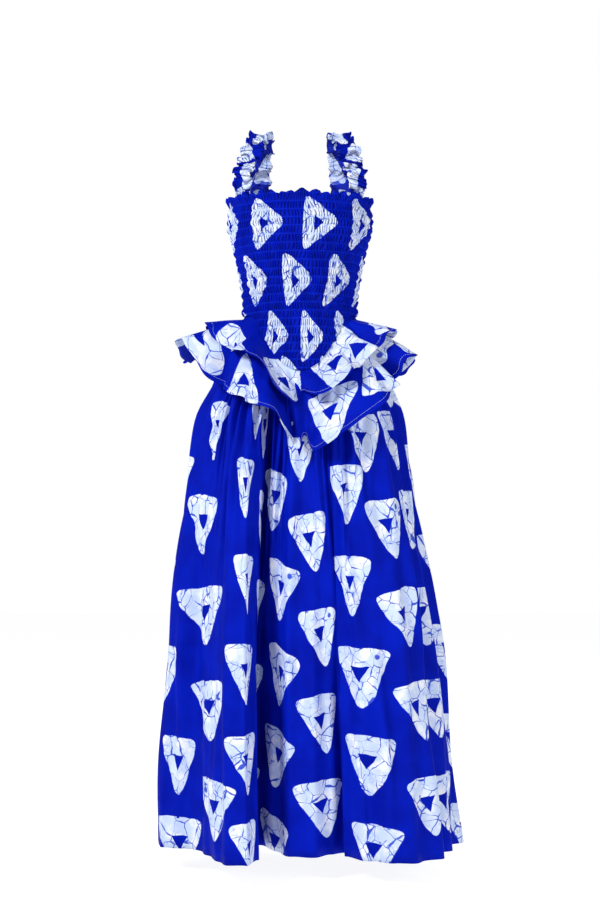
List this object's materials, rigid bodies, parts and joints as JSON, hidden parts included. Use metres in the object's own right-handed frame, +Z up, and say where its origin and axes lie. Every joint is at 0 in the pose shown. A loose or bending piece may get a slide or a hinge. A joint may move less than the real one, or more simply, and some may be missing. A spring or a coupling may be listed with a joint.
{
  "type": "ankara wax print dress",
  "caption": "Floor-length sleeveless wax print cotton dress: shirred bodice on ruffled straps, pointed waist seam, two fluted peplum tiers and a full gathered skirt.",
  "frame": {"origin": "on the dress's axis, level with the shoulders that carry the straps", "axes": "+Z up, -Y the front of the dress, +X towards the viewer's right when the front is seen"},
  "size_m": [0.6311, 0.5192, 1.4651],
  "materials": {
    "bodice_cotton": "matt cotton with a slight sheen, blue and pale blue wax print",
    "strap_cotton": "matt cotton with a slight sheen, blue and pale blue wax print",
    "peplum_cotton": "matt cotton with a slight sheen, blue and pale blue wax print",
    "skirt_cotton": "matt cotton with a slight sheen, blue and pale blue wax print"
  },
  "bodies": {
    "root": {"bodice_front": "bodice_cotton", "bodice_back": "bodice_cotton", "strap_left": "strap_cotton", "strap_right": "strap_cotton", "peplum_upper_front": "peplum_cotton", "peplum_upper_back": "peplum_cotton", "peplum_lower_front": "peplum_cotton", "peplum_lower_back": "peplum_cotton", "skirt_front": "skirt_cotton", "skirt_back": "skirt_cotton"}
  },
  "joints": []
}
